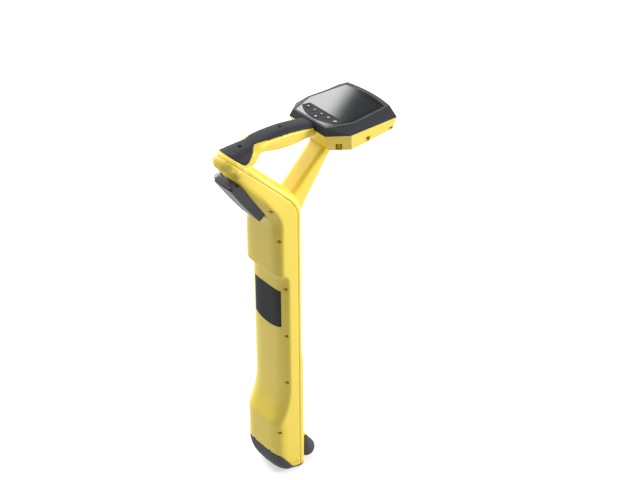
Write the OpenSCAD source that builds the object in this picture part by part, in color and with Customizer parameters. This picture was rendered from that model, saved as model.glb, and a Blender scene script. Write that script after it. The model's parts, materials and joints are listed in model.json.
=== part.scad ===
// Hand-held cable-locator receiver: an upright antenna wand on a rubber boot, a neck that leans back,
// a closed hand loop and a display head that faces up.
// +Z is up, +Y points away from the person who carries it, and the origin is under the middle of the foot.

/* [Wand] */
// Width of the wand across its flat flanks
wand_w = 95; // [88:1:104]
// Forward place where the flat flanks end and the back begins to round
flank_y = -14; // [-17:1:-11]
// Forward place of the upright parting line between the two shells
seam_y = 4; // [2:1:8]
// Depth of the scooped waist behind the flanks
waist_depth = 11.5; // [10.5:0.5:13]
// Depth of the upper bulge behind the flanks
bulge_depth = 23; // [21:0.5:26]
// Depth of the heel behind the flanks
heel_depth = 32; // [29:0.5:35]
// Depth of the front cover ahead of the parting line
front_depth = 14; // [12:1:18]
// Extra depth of the front cover below its jog
toe_depth = 5; // [2:0.5:8]
// Height of the jog in the front cover
jog_z = 250; // [220:1:280]
// Height of the lower rim of the upper bulge
bulge_z = 436; // [420:1:450]
// Height of the cove under the upper bulge
cove_h = 18; // [12:1:24]
// Height at which the scoop above the heel begins
scoop_z = 195; // [180:1:210]
// Radius of the scoop above the heel
scoop_r = 143; // [134:1:154]
// Wall of the moulded shells
shell_t = 3; // [2.5:0.1:3.5]

/* [Neck] */
// Height at which the parting line turns back
bend_z = 563; // [555:1:570]
// Half the length of the turn in the parting line
bend_r = 20; // [10:1:26]
// Lean of the neck from the upright, in degrees
neck_lean = 45; // [43:0.5:47]
// Width of the neck at its top
neck_w = 52; // [50:1:56]
// Height at which the neck begins to narrow
neck_start_z = 550; // [540:1:560]
// Height at which the neck is at its narrowest
neck_end_z = 655; // [650:1:662]
// Depth of the front cover over the neck, measured along Y
neck_cover = 20; // [17:1:23]
// Depth of the rounded back of the neck
neck_depth = 24; // [20:1:27]
// Height at which the raised spine under the door fades into the bulge
spine_z = 505; // [495:1:515]
// Drop of the shoulders beside that spine
shoulder_drop = 6; // [4:0.5:7]
// Drop of the neck's back under the nose of the handle
lip_drop = 7; // [5:0.5:8]

/* [Handle] */
// Rear end of the handle's nose
nose_y = -116; // [-118:1:-114]
// Length of the handle from its nose into the head
handle_l = 184; // [181:1:187]
// Height of the lip under the nose
handle_z = 651; // [650:0.5:653]
// Height of the handle from the lip to its crown
handle_h = 36.5; // [35:0.5:39]
// Wall of the handle
handle_t = 3.5; // [3:0.1:4]

/* [Strut] */
// Width of the strut
strut_w = 42; // [38:1:44]
// Height at which the strut starts inside the wand
strut_foot_z = 520; // [515:1:525]
// Back of the strut at its foot
strut_back_foot_y = -33; // [-36:0.5:-30]
// Back of the strut at the head
strut_back_head_y = 89.5; // [88:0.1:91]
// Front of the strut at its foot
strut_front_foot_y = 33; // [31:0.5:36]
// Front of the strut at the head
strut_front_head_y = 108.6; // [107:0.1:110]

/* [Head] */
// Forward place of the head's near edge
head_y = 63; // [62:0.5:65]
// Height of the parting plane between the bezel and the base
head_z = 667; // [665:0.5:669]
// Width of the near edge at the parting plane
near_w = 89.6; // [86:0.2:94]
// Width at the wide corners
wide_w = 137.6; // [132:0.2:142]
// Width at the far corners
far_w = 142.8; // [138:0.2:148]
// Distance from the near edge to the wide corners
wide_run = 34; // [30:1:38]
// Distance from the near edge to the far corners
far_run = 129; // [124:1:136]
// Bow of the far edge
far_bow = 6; // [3:0.5:8]
// Height of the bezel
bezel_h = 11.5; // [11:0.25:13]
// Slope of the bezel: how far its near edge steps in
bezel_near_in = 4.5; // [3:0.5:6]
// How far the bezel's wide corners step in
bezel_wide_in = 11.3; // [9:0.1:13]
// How far the bezel's far corners step in
bezel_far_in = 19.8; // [17:0.1:22]
// How far along the head the bezel's wide corners step on
bezel_wide_on = 16; // [12:1:18]
// Depth of the base under its wide corners
base_h = 33; // [30:1:35]
// Rise of the base's underside towards the far end
base_rise = 8; // [5:0.5:10]
// How far the base's near edge steps in
base_near_in = 16; // [13:1:18]
// How far the base's sides step in
base_side_in = 8; // [6:0.5:10]
// Width of the dark frame round the glass
frame_w = 4; // [3:0.25:5]
// Extra width of that frame at the far edge
frame_far_w = 4; // [2:0.25:5]
// Thickness of the glass
glass_t = 2.2; // [1.8:0.1:2.6]
// Thickness of the deck under the glass
deck_t = 2; // [1.6:0.1:2.2]
// Thickness of the gasket between bezel and base
gasket_t = 0.8; // [0.5:0.1:1]

/* [Keypad] */
// Distance from the glass's slanted edges in to the corners of the keypad panel
pad_side_in = 1.48; // [1.2:0.02:2]
// Distance from the head's near edge to the keypad panel's straight far edge
pad_far_run = 39; // [38:0.5:40]
// Length of the keypad panel at its ends
pad_end_l = 13; // [12:1:15]
// Length of the keypad panel in the middle
pad_mid_l = 29; // [28:1:30]
// Thickness of the keypad panel
pad_t = 1.6; // [1.4:0.1:1.8]
// Radius of a key
key_r = 4.6; // [4:0.1:5]
// Distance from the keypad panel's ends in to the outer keys
key_end_in = 9.8; // [9:0.1:11]
// Distance from the keypad panel's far edge to the row of keys
key_row_in = 8.4; // [8:0.1:8.8]
// Distance from the row of keys back to the single lower key
key_drop = 12.4; // [12:0.1:12.8]
// Travel of a key
key_travel = 0.6; // [0.4:0.1:0.6]

/* [Battery door] */
// Tilt of the door from the level, in degrees
door_tilt = 56; // [55:0.5:57]
// Forward place of the middle of the door's seat
seat_y = -75.7; // [-76.5:0.1:-75]
// Height of the middle of the door's seat
seat_z = 601.2; // [600:0.1:602]
// How far the neck stands proud of the door's seat
land_h = 1.4; // [1:0.1:1.8]
// Width of the door at its rim
door_w = 54; // [52:0.5:55]
// Width of the door's flat face
door_face_w = 43; // [40:0.5:45]
// Thickness of the door
door_t = 15.5; // [15:0.1:16.5]
// Distance from the seat's middle down to the hinge pin
hinge_run = 55; // [54:0.5:56]
// Distance from the seat's middle up to the door's top edge
door_top_run = 36; // [35:0.5:36.5]
// Radius of the door's hinge barrel
barrel_r = 7; // [6.6:0.1:7.2]
// Distance from the seat's middle up to the top of the latch
latch_top_run = 45; // [44.5:0.5:46]
// Width of the latch
latch_w = 52; // [50:0.5:54]
// Height of the latch over the seat
latch_h = 14.2; // [13.6:0.1:15]
// Radius of the hinge and latch pins
pin_r = 1.5; // [1.2:0.1:1.8]

/* [Foot] */
// Height of the boot's rim at the back
boot_back_h = 51; // [46:1:56]
// Height of the boot's rim at the front
boot_front_h = 8; // [6:0.5:10]
// Height over which the heel rounds under
heel_h = 45; // [40:1:50]
// How far the heel rounds under
heel_run = 29; // [25:1:31]
// Radius of the foot's side edges at the back
edge_r = 20; // [17:1:22]
// Radius of the foot's side edges ahead of the parting line
front_edge_r = 9; // [7:0.5:11]
// Radius of the toe
toe_r = 10; // [8:0.5:12]
// Radius of the front bumper
bumper_r = 17; // [16:0.5:18]
// Length of the bumper's straight part
bumper_l = 61; // [58:1:62]
// Forward place of the bumper's axis
bumper_y = 29.5; // [28.5:0.5:30.5]
// Height of the bumper's axis
bumper_z = 25.8; // [24:0.2:28]

/* [Label] */
// Width of the rating label
label_w = 68; // [60:1:72]
// Height of the rating label at its sides
label_h = 73; // [64:1:80]
// Bow of the label's lower edge
label_bow = 7; // [4:0.5:10]
// Height of the label's top edge
label_top_z = 398; // [390:1:404]
// Thickness of the label
label_t = 0.6; // [0.4:0.1:0.8]

/* [Screws] */
// Sideways place of the shell screws
screw_x = 41.7; // [41:0.1:42.2]
// Radius of a screw's shank
screw_r = 1.5; // [1.3:0.1:1.6]
// Radius of a screw's head
head_screw_r = 2.6; // [2.4:0.1:2.7]
// Height of a screw's head
head_screw_h = 2.2; // [1.8:0.1:2.6]
// Radius of a screw boss
boss_r = 4.2; // [4:0.1:4.5]

/* [Battery] */
// Width of the battery pack
pack_w = 35; // [33:0.5:36]
// Length of the battery pack
pack_l = 66; // [60:1:68]
// Thickness of the battery pack
pack_t = 19; // [16:0.5:20]

/* [Antennas] */
// Radius of a ferrite rod
rod_r = 5; // [4:0.25:5.5]
// Length of a ferrite rod
rod_l = 68; // [60:1:70]
// Radius of a wound coil
coil_r = 7.5; // [6.5:0.25:8]
// Length of a wound coil
coil_l = 38; // [30:1:42]
// Height of the lower antenna
lower_antenna_z = 92; // [86:1:98]
// Height of the upper antenna
upper_antenna_z = 470; // [460:1:480]
// Height of the middle of the upright antenna
mid_antenna_z = 262; // [250:1:275]

/* [Socket] */
// Radius of the accessory socket's bore
socket_r = 6; // [5:0.1:6.5]
// Depth of the accessory socket's bore
socket_l = 10; // [8:0.5:12]

/* [Hidden] */
$fn = 48;

// Overrun of every cut, clearance of a fixed fit, clearance of a moving fit, and of a turning pin
over = 5;
fit_gap = 0.2;
run_gap = 0.4;
pin_gap = 0.05;

yellow = "#f2d84a";
charcoal = "#45474b";
black = "#17181a";

// Points in half a section and in a closed one
arc_n = 26;
ring_n = 24;
bow_n = 8;

// Squareness of the sections: 2 is an ellipse, more is squarer
sole_power = 2;
heel_power = 4;
waist_power = 4;
wand_power = 6;
neck_power = 3.6;
front_power = 3;
handle_power = 2.8;
strut_power = 4.5;

function mix(a, b, t) = a + (b - a) * t;
function ease(v, v0, v1) = let (t = min(max((v - v0) / (v1 - v0), 0), 1)) t * t * (3 - 2 * t);
function ramp(d, r) = d <= -r ? 0 : d >= r ? d : (d + r) * (d + r) / (4 * r);
function squared(v, p) = sign(v) * pow(abs(v), 2 / p);
function arc(cx, cy, r, a0, a1, n) =
    [for (i = [0:n]) let (a = mix(a0, a1, i / n)) [cx + r * cos(a), cy + r * sin(a)]];

// A solid through a list of rings that all have the same count of points.
// Each ring runs clockwise as seen from the last ring towards the first.
module loft(rings) {
    n = len(rings[0]);
    m = len(rings);
    points = [for (ring = rings) each ring];
    sides = [
        for (i = [0:m - 2], j = [0:n - 1])
            let (k = (j + 1) % n)
                each [
                    [i * n + j, i * n + k, (i + 1) * n + k],
                    [i * n + j, (i + 1) * n + k, (i + 1) * n + j]
                ]
    ];
    first = [for (j = [n - 1:-1:0]) j];
    last = [for (j = [0:n - 1]) (m - 1) * n + j];
    polyhedron(points, concat([first], sides, [last]));
}

// Joins the children into one moulded skin
module moulded() {
    resize([0, 0, 0]) children();
}

// An extrusion of a side view, drawn as (y, z) points, centred on the middle plane
module across(width) {
    rotate([90, 0, 90]) translate([0, 0, -width / 2]) linear_extrude(width) children();
}

// Wand and neck: section values by height
half_w = wand_w / 2;
lean_run = tan(neck_lean);
function rounding(z, r) = let (d = max(r - z, 0)) r - sqrt(r * r - d * d);
function neck_half(z) = mix(half_w, neck_w / 2, ease(z, neck_start_z, neck_end_z));
function half_width(z) = neck_half(z) - rounding(z, edge_r);
function front_half(z) = neck_half(z) - rounding(z, front_edge_r);
function seam_at(z) = seam_y - ramp(z - bend_z, bend_r) * lean_run;
function front_at(z) =
    mix(front_depth + toe_depth * (1 - ease(z, jog_z - cove_h, jog_z + cove_h)), neck_cover,
        ease(z, bend_z - bend_r, bend_z + bend_r)) - rounding(z, toe_r);
bulge_back = flank_y - bulge_depth;
seat_run = 1 / tan(door_tilt);
land_run = land_h / sin(door_tilt);
turn_z = seat_z - (bulge_back + land_run - seat_y) / seat_run;
function back_at(z) = bulge_back - ramp(z - turn_z, bend_r) * seat_run;
function neck_share(z) = ease(z, neck_start_z - bend_r, mix(neck_start_z, neck_end_z, 1 / 2));
function neck_back(z) = mix(bulge_depth, neck_depth, neck_share(z));

// The back of a section: its centre line, and how far it stands out at a share of the half width
function centre_at(z) = z < bulge_z ? flank_y : back_at(z) + neck_back(z);
function bowed(f, p) = pow(max(1 - pow(abs(f), p), 0), 1 / p);
function soft_min(a, b, k) = let (h = max(k - abs(a - b), 0) / k) min(a, b) - h * h * k / 4;
function scoop_at(z) = scoop_r - sqrt(max(scoop_r * scoop_r - (scoop_z - z) * (scoop_z - z), 0));
function heel_at(z) = heel_depth - heel_run / heel_h * rounding(z, heel_h);
function heel_out(z, f) = heel_at(z) * bowed(f, mix(sole_power, heel_power, min(z / heel_h, 1)));
function ridged(f, p) = pow(max(1 - pow(abs(f), p), 0), edge_power);
function waist_out(f) = waist_depth * ridged(f, waist_power);
function bulge_share(f) = mix(bulge_edge_share, 1, ridged(f, wand_power));
function spine_share(x) = ease(abs(x), spine_half, spine_half + spine_soft);
function neck_drop(z, x) =
    shoulder_drop * ease(z, spine_z, bend_z) * spine_share(x) + lip_drop * ease(z, lip_z, lip_z + lip_soft);
function cove_share(z) =
    let (t = min(max((z - bulge_z + cove_h) / cove_h, 0), 1)) 1 - sqrt(1 - t * t);
function out_at(z, f) =
    z < rim_low_z - 2 * over ? heel_out(z, f)
    : z < scoop_z ? soft_min(heel_out(z, f), waist_out(f) + scoop_at(z), rim_soft)
    : z < bulge_z ? mix(waist_out(f), bulge_depth * bulge_share(f), cove_share(z))
    : (neck_back(z) - neck_drop(z, f * half_width(z)))
        * mix(bulge_share(f), bowed(f, neck_power), neck_share(z));

// Spine under the door, and the lip under the nose that starts above the latch
spine_margin = 3;
spine_half = door_w / 2 + spine_margin;
spine_soft = 9;
lip_margin = 1;
lip_z = seat_z + (latch_top_run + lip_margin) * sin(door_tilt);
lip_soft = 5;
lip_n = 3;
// How sharply the back turns at the flanks, and the share of the bulge's depth that the flanks reach
edge_power = 0.7;
bulge_edge_share = 0.5;
// Softness of the scoop's rim, and the squareness used to space the points of a section
rim_soft = 3;
spacing_power = 5;
function back_arc(z, inset) = [
    for (i = [0:arc_n])
        let (f = squared(cos(180 * i / arc_n), spacing_power))
            [(half_width(z) - inset) * f, centre_at(z) - max(out_at(z, f) - inset, 0), z]
];
function front_arc(z, inset) = [
    for (i = [0:arc_n])
        let (t = 180 * i / arc_n, a = front_half(z) - inset)
            [-a * squared(cos(t), front_power),
             seam_at(z) + (front_at(z) - inset) * squared(sin(t), front_power), z]
];
// Half sections, closed a little ahead of or behind the parting line
function back_ring(z, inset, ahead) =
    let (a = front_half(z) - inset)
        concat([[a, seam_at(z) + ahead, z]], back_arc(z, inset), [[-a, seam_at(z) + ahead, z]]);
function front_ring(z, inset, ahead) =
    let (a = front_half(z) - inset)
        concat([[-a, seam_at(z) + ahead, z]], front_arc(z, inset), [[a, seam_at(z) + ahead, z]]);

lobe_top_z = handle_z + handle_t;
foot_shares = [0, 0.015, 0.05, 0.11, 0.2, 0.33, 0.5, 0.72, 1];
foot_heights = [for (f = foot_shares) f * heel_h];
rim_n = 20;
rim_low_z = scoop_z - sqrt(scoop_r * scoop_r - pow(scoop_r - heel_depth + waist_depth, 2));
cove_n = 6;
neck_n = 12;
back_heights = concat(
    foot_heights,
    [for (i = [0:rim_n]) mix(rim_low_z - 2 * over, scoop_z, i / rim_n)],
    [for (i = [0:cove_n]) bulge_z - cove_h * (1 - sin(90 * i / cove_n))],
    [for (i = [0:neck_n]) mix(spine_z, lip_z, i / neck_n)],
    [for (i = [1:lip_n]) lip_z + lip_soft * i / lip_n],
    [lobe_top_z]
);
front_heights = concat(
    foot_heights,
    [for (i = [-2:2]) jog_z + i * cove_h / 2],
    [for (i = [0:neck_n]) mix(bend_z - bend_r, lobe_top_z, i / neck_n)]
);

// Foot: the wavy line where the yellow shells meet the boot
heel_y = flank_y - heel_depth;
toe_y = seam_y + front_depth + toe_depth;
wave_n = 20;
wave_back_y = heel_y + shell_t * 2 / 3;
wave_front_y = flank_y / 3;
function wave(y) = mix(boot_back_h, boot_front_h, ease(y, wave_back_y, wave_front_y));
// Everything under the wave line, wider than the wand
module boot_space(lift) {
    far_y = toe_y + over;
    back_y = heel_y - over;
    across(wand_w + over)
        polygon(concat(
            [for (i = [0:wave_n]) let (y = mix(back_y, far_y, i / wave_n)) [y, wave(y) + lift]],
            [[far_y, -over], [back_y, -over]]
        ));
}

// Handle: shares of its length, of its height over the lip, and of half the neck's width
handle_shares = [
    // along, crown, underside, half width
    [0, 0.37, 0.24, 0.3], [0.008, 0.49, 0.1, 0.54], [0.025, 0.59, 0.03, 0.76], [0.055, 0.69, -0.01, 0.91],
    [0.105, 0.77, -0.04, 1], [0.184, 0.81, -0.08, 0.96], [0.307, 0.86, -0.14, 0.87],
    [0.326, 0.88, -0.07, 0.85], [0.343, 0.9, 0.06, 0.84], [0.357, 0.917, 0.2, 0.83],
    [0.385, 0.942, 0.32, 0.82], [0.429, 0.97, 0.31, 0.8], [0.511, 1, 0.19, 0.79], [0.603, 1, 0.077, 0.79],
    [0.712, 0.97, 0.01, 0.785], [0.827, 0.88, 0.02, 0.77], [0.902, 0.8, 0.055, 0.75], [1, 0.7, 0.03, 0.73]
];
// Side view of the grip's lower edge, as shares of the handle's length and height
grip_edge_shares = [
    [0.055, 1.15], [0.081, 0.74], [0.174, 0.315], [0.189, 0.27], [0.207, 0.255],
    [0.223, 0.285], [0.241, 0.37], [0.272, 0.575], [0.315, 0.78], [0.341, 0.845],
    [0.369, 0.875], [0.411, 0.885], [0.457, 0.877], [0.592, 0.827], [0.701, 0.79],
    [0.81, 0.707], [1.05, 0.47], [1.05, 1.15]
];
function along(share) = nose_y + share * handle_l;
function over_lip(share) = handle_z + share * handle_h;
function handle_ring(row, inset) =
    let (top = over_lip(row[1]) - inset, low = over_lip(row[2]) + inset, h = row[3] * neck_w / 2 - inset)
        [for (i = [0:ring_n - 1])
            let (t = 360 * i / ring_n)
                [-h * squared(sin(t), handle_power), along(row[0]),
                 (top + low) / 2 + (top - low) / 2 * squared(cos(t), handle_power)]];
module handle_form() {
    loft([for (row = handle_shares) handle_ring(row, 0)]);
}
// The hollow inside: it starts behind the nose and runs on into the head
hollow_first = 4;
module handle_hollow() {
    loft([for (i = [hollow_first:len(handle_shares) - 1]) handle_ring(handle_shares[i], handle_t)]);
}
module grip_view() {
    polygon([for (s = grip_edge_shares) [along(s[0]), over_lip(s[1])]]);
}
// All that lies behind the neck's sloped parting plane
module behind_neck_seam(shift) {
    top = handle_z + 2 * handle_h;
    across(neck_w + 2 * over)
        polygon([
            [seam_at(bend_z + bend_r) + shift, bend_z + bend_r], [seam_at(top) + shift, top],
            [nose_y - neck_w, top], [nose_y - neck_w, bend_z + bend_r]
        ]);
}

// Strut: level rounded sections between its back and front lines
strut_n = 5;
strut_head_z = head_z - base_h + over;
function strut_ring(s, inset) =
    let (z = mix(strut_foot_z, strut_head_z, s),
         reach = (strut_head_z - strut_foot_z) / (head_z - base_h - strut_foot_z),
         back = mix(strut_back_foot_y, strut_back_head_y, s * reach) + inset,
         front = mix(strut_front_foot_y, strut_front_head_y, s * reach) - inset)
        [for (i = [0:ring_n - 1])
            let (t = 360 * i / ring_n)
                [(strut_w / 2 - inset) * squared(sin(t), strut_power),
                 (back + front) / 2 + (front - back) / 2 * squared(cos(t), strut_power), z]];
module strut_form(inset) {
    loft([for (i = [0:strut_n]) strut_ring(i / strut_n, inset)]);
}

// Hollows of the two shells
hollow_foot_z = boot_back_h + 2 * shell_t;
module back_hollow() {
    heights = [for (z = back_heights) if (z > hollow_foot_z && z < lobe_top_z - shell_t) z];
    loft([for (z = concat([hollow_foot_z], heights)) back_ring(z, shell_t, over)]);
}
module front_hollow() {
    heights = [for (z = front_heights) if (z > hollow_foot_z && z < lobe_top_z - shell_t) z];
    loft([for (z = concat([hollow_foot_z], heights)) front_ring(z, shell_t, -over)]);
}

// Shell screws: heights down the wand, as shares of the height of the bend
screw_height_shares = [0.183, 0.368, 0.547, 0.721, 0.9, 1.011];
neck_screw_share = 0.945;
screw_seat_y = flank_y + 2 * head_screw_h;
screw_grip_l = 6.5;
screw_spare = 1;
// Each screw lies along Y; its own Z is measured from the upright part of the parting line
module at_shell_screws() {
    for (side = [-1, 1], f = screw_height_shares)
        translate([side * screw_x * (f > 1 ? neck_screw_share : 1), seam_at(f * bend_z) - seam_y, f * bend_z])
            rotate([-90, 0, 0]) children();
}
module boss(y0, y1, r) {
    translate([0, 0, y0]) cylinder(r = r, h = y1 - y0);
}
module screw(shank_l) {
    difference() {
        translate([0, 0, -head_screw_h]) cylinder(r = head_screw_r, h = head_screw_h);
        translate([0, 0, -head_screw_h - over])
            cylinder(r = head_screw_r / 2, h = over + head_screw_h * 3 / 5, $fn = 6);
    }
    cylinder(r = screw_r, h = shank_l);
}

// Grip screws: shares of the handle's length
grip_screw_shares = [0.236, 0.671];
grip_crown_shares = [0.8, 0.97];
grip_seat_drop = 5;
grip_pad_h = 3;
module at_grip_screws() {
    for (i = [0:len(grip_screw_shares) - 1])
        translate([0, along(grip_screw_shares[i]), over_lip(grip_crown_shares[i]) - grip_seat_drop])
            children();
}

// Door frame: X across, Y up the slope, Z out of the neck
module door_frame() {
    translate([0, seat_y, seat_z]) rotate([180 - door_tilt, 0, 0]) children();
}
door_lift = 0.6;
hinge_out = barrel_r + run_gap;
knuckle_r = 3;
latch_axis_run = door_top_run + knuckle_r + 3 * fit_gap;
latch_axis_out = latch_h / 2;
seat_t = 3;
bay_w = pack_w + 4 * fit_gap;
bay_l = pack_l + 4 * fit_gap;
bay_mid = -6;
keeper_w = 14;
keeper_l = 4;
keeper_wall = 1;
keeper_run = latch_top_run - keeper_l - keeper_wall;
// Room for the door and the latch, down to the seat
module door_room() {
    low = -hinge_run - barrel_r - run_gap;
    door_frame() translate([-door_w / 2 - run_gap, low, 0])
        cube([door_w + 2 * run_gap, latch_top_run + run_gap - low, 2 * door_t]);
}
// Thick floor of the door's seat
module seat_slab() {
    low = -hinge_run - barrel_r - seat_t;
    door_frame() translate([-door_w / 2 - seat_t, low, -seat_t])
        cube([door_w + 2 * seat_t, latch_top_run + 3 * seat_t - low, seat_t + land_h / 2]);
}
module bay_cut() {
    door_frame() translate([-bay_w / 2, bay_mid - bay_l / 2, -over]) cube([bay_w, bay_l, 2 * over]);
    door_frame() translate([-keeper_w / 2, keeper_run, -over]) cube([keeper_w, keeper_l, 2 * over]);
}
// Lug that rises from the seat between the door's knuckles: an eye on a stem that stays clear of the swing
lug_w = 12;
eye_r = 3;
module hinge_lug() {
    door_frame() translate([-lug_w / 2, -hinge_run, 0]) rotate([90, 0, 90]) linear_extrude(lug_w)
        polygon(concat(
            [[-eye_r / 6, -seat_t / 3], [eye_r * 4 / 3, -seat_t / 3]],
            arc(0, hinge_out, eye_r, 0, 180, 12)
        ));
}

module rear_outer() {
    difference() {
        union() {
            loft([for (z = back_heights) back_ring(z, 0, 0)]);
            intersection() {
                handle_form();
                behind_neck_seam(-pin_gap);
            }
        }
        boot_space(fit_gap);
    }
}

module rear_shell() color(yellow) {
    difference() {
        moulded() {
            difference() {
                rear_outer();
                difference() {
                    back_hollow();
                    at_shell_screws() boss(heel_y - over, seam_y + 2 * over, boss_r, $fn = 16);
                    seat_slab();
                }
                intersection() {
                    handle_hollow();
                    behind_neck_seam(over);
                }
                door_room();
                boot_slots();
            }
            hinge_lug();
        }
        bay_cut();
        at_shell_screws() boss(screw_seat_y, seam_y + over, screw_r + fit_gap);
        at_shell_screws() boss(heel_y - 2 * over, screw_seat_y, head_screw_r + fit_gap);
        door_frame() translate([-lug_w, -hinge_run, hinge_out]) rotate([0, 90, 0])
            cylinder(r = pin_r + pin_gap, h = 2 * lug_w);
    }
}

// Slits low on the flanks, and slots at the back that the boot's clips snap into
slit_l = 16;
slit_h = 1.6;
slit_in = 1.4;
slit_y = flank_y * 2 / 3;
slit_z = 21;
clip_x = 21.7;
clip_w = 5;
clip_h = 2.6;
clip_in = 2.4;
module boot_slots() {
    for (side = [-1, 1]) {
        translate([side * half_width(slit_z), slit_y, slit_z])
            cube([2 * slit_in, slit_l, slit_h], center = true);
        translate([side * clip_x, heel_y, boot_back_h + clip_h / 2])
            cube([clip_w, 2 * clip_in, clip_h], center = true);
    }
}

// Fairing over the bumper: a wedge from the front cover down to a lip on the roll
hood_w = 46;
hood_t = 1.6;
hood_turn = 38;
hood_run = 38;
module hood_view() {
    back_y = seam_y + shell_t;
    r = bumper_r + hood_t;
    lip = [bumper_y + r * cos(hood_turn), bumper_z + r * sin(hood_turn)];
    brow = lip + hood_run * [-sin(hood_turn), cos(hood_turn)];
    polygon([[back_y, bumper_z], [bumper_y, bumper_z], lip, brow, [back_y, brow.y]]);
}
// All that lies behind the parting line, over the height of the strut
module behind_seam(shift) {
    heights = [for (z = front_heights) if (z > jog_z + 2 * cove_h) z];
    across(wand_w)
        polygon(concat(
            [for (z = heights) [seam_at(z) + shift, z]],
            [[nose_y, lobe_top_z], [nose_y, strut_foot_z - over], [seam_y + shift, strut_foot_z - over]]
        ));
}
module front_outer() {
    difference() {
        union() {
            loft([for (z = front_heights) front_ring(z, 0, fit_gap)]);
            difference() {
                strut_form(0);
                behind_seam(2 * fit_gap);
            }
            difference() {
                handle_form();
                behind_neck_seam(2 * fit_gap);
                across(2 * neck_w) grip_view();
            }
            across(hood_w) hood_view();
        }
        boot_space(fit_gap);
        base_form(-fit_gap, over);
        bumper_form(2 * fit_gap, $fn = 24);
    }
}

// Inside of the strut, with a floor over its foot
module strut_hollow() {
    difference() {
        strut_form(shell_t);
        translate([-strut_w / 2, strut_back_foot_y, strut_foot_z - over])
            cube([strut_w, strut_front_foot_y - strut_back_foot_y, over + shell_t]);
    }
}
// Cross rib inside the handle that carries its rear screw
module grip_rib() {
    translate([-neck_w, along(grip_screw_shares[0]) - boss_r, handle_z - 2 * handle_h])
        cube([2 * neck_w, 2 * boss_r, 2 * handle_h + handle_h * 3 / 5]);
}
module front_shell() color(yellow) {
    difference() {
        moulded() difference() {
            front_outer();
            difference() {
                union() {
                    front_hollow();
                    handle_hollow();
                    strut_hollow();
                }
                at_shell_screws() boss(seam_y - 2 * over, toe_y + over, boss_r, $fn = 16);
                at_grip_screws() translate([0, 0, -handle_h]) cylinder(r = boss_r, h = handle_h, $fn = 16);
                grip_rib();
            }
        }
        at_shell_screws() boss(seam_y - over, seam_y + screw_grip_l + screw_spare, screw_r + pin_gap);
        at_grip_screws() translate([0, 0, -screw_grip_l - screw_spare])
            cylinder(r = screw_r + pin_gap, h = handle_h);
        at_bumper_bolts() boss(seam_y, toe_y + over, screw_r + fit_gap);
    }
}

module handle_grip() color(charcoal) {
    difference() {
        moulded() difference() {
            handle_form();
            translate([0, 0, fit_gap]) difference() {
                translate([-neck_w, nose_y - over, handle_z - handle_h])
                    cube([2 * neck_w, 2 * handle_l, 4 * handle_h]);
                across(4 * neck_w) grip_view();
            }
            difference() {
                handle_hollow();
                at_grip_screws() translate([0, 0, pin_gap]) cylinder(r = boss_r, h = handle_h, $fn = 16);
            }
            bezel_form(-fit_gap);
            base_form(-fit_gap, over);
        }
        at_grip_screws() translate([0, 0, grip_pad_h]) cylinder(r = head_screw_r + fit_gap, h = handle_h);
        at_grip_screws() translate([0, 0, -over]) cylinder(r = screw_r + fit_gap, h = handle_h);
    }
}

module grip_screws() color("dimgray") {
    at_grip_screws() translate([0, 0, grip_pad_h]) rotate([180, 0, 0]) screw(grip_pad_h + screw_grip_l);
}

module shell_screws() color("dimgray") {
    at_shell_screws() translate([0, 0, screw_seat_y]) screw(seam_y + screw_grip_l - screw_seat_y);
}

module foot_boot() color(charcoal) {
    moulded() intersection() {
        loft([for (z = concat(foot_heights, [boot_back_h + over])) concat(back_arc(z, 0), front_arc(z, 0))]);
        boot_space(0);
    }
}

// Front bumper: a round-ended rubber roll, flat where it meets the front cover
module bumper_form(grow) {
    r = bumper_r + grow;
    translate([0, bumper_y, bumper_z]) rotate([0, 90, 0]) rotate_extrude()
        polygon(concat(
            arc(0, bumper_l / 2, r, 90, 0, 12),
            arc(0, -bumper_l / 2, r, 0, -90, 12)
        ));
}
module front_bumper() color(charcoal) {
    skin = front_ring(jog_z - 2 * cove_h, -fit_gap, -over);
    difference() {
        bumper_form(0);
        linear_extrude(4 * bumper_r) polygon([for (q = skin) [q.x, q.y]]);
        at_bumper_bolts() cylinder(r = screw_r + pin_gap, h = toe_y + bumper_r / 2);
    }
}
bolt_seat_y = seam_y + shell_t;
module at_bumper_bolts() {
    for (side = [-1, 1])
        translate([side * bumper_l / 4, 0, bumper_z]) rotate([-90, 0, 0]) children();
}
module bumper_bolts() color("silver") {
    at_bumper_bolts() translate([0, 0, bolt_seat_y])
        cylinder(r = screw_r, h = toe_y + bumper_r / 2 - bolt_seat_y - screw_spare);
}

function waist_y(x) = flank_y - waist_out(x / half_w);
label_n = 40;
function label_skin(out) =
    [for (i = [0:label_n]) let (x = label_w * (i / label_n - 1 / 2)) [x, waist_y(x) - out]];
function turned(list) = [for (i = [len(list) - 1:-1:0]) list[i]];
module rating_label() color(black) {
    full_h = label_h + label_bow;
    intersection() {
        translate([0, 0, label_top_z - full_h]) linear_extrude(full_h)
            polygon(concat(label_skin(pin_gap), turned(label_skin(pin_gap + label_t))));
        translate([0, flank_y, 0]) rotate([90, 0, 0]) linear_extrude(2 * bulge_depth)
            polygon(concat(
                [[-label_w / 2, label_top_z], [label_w / 2, label_top_z]],
                [for (i = [0:bow_n])
                    let (f = 1 - 2 * i / bow_n)
                        [f * label_w / 2, label_top_z - label_h - label_bow * (1 - f * f)]]
            ));
    }
}

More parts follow.
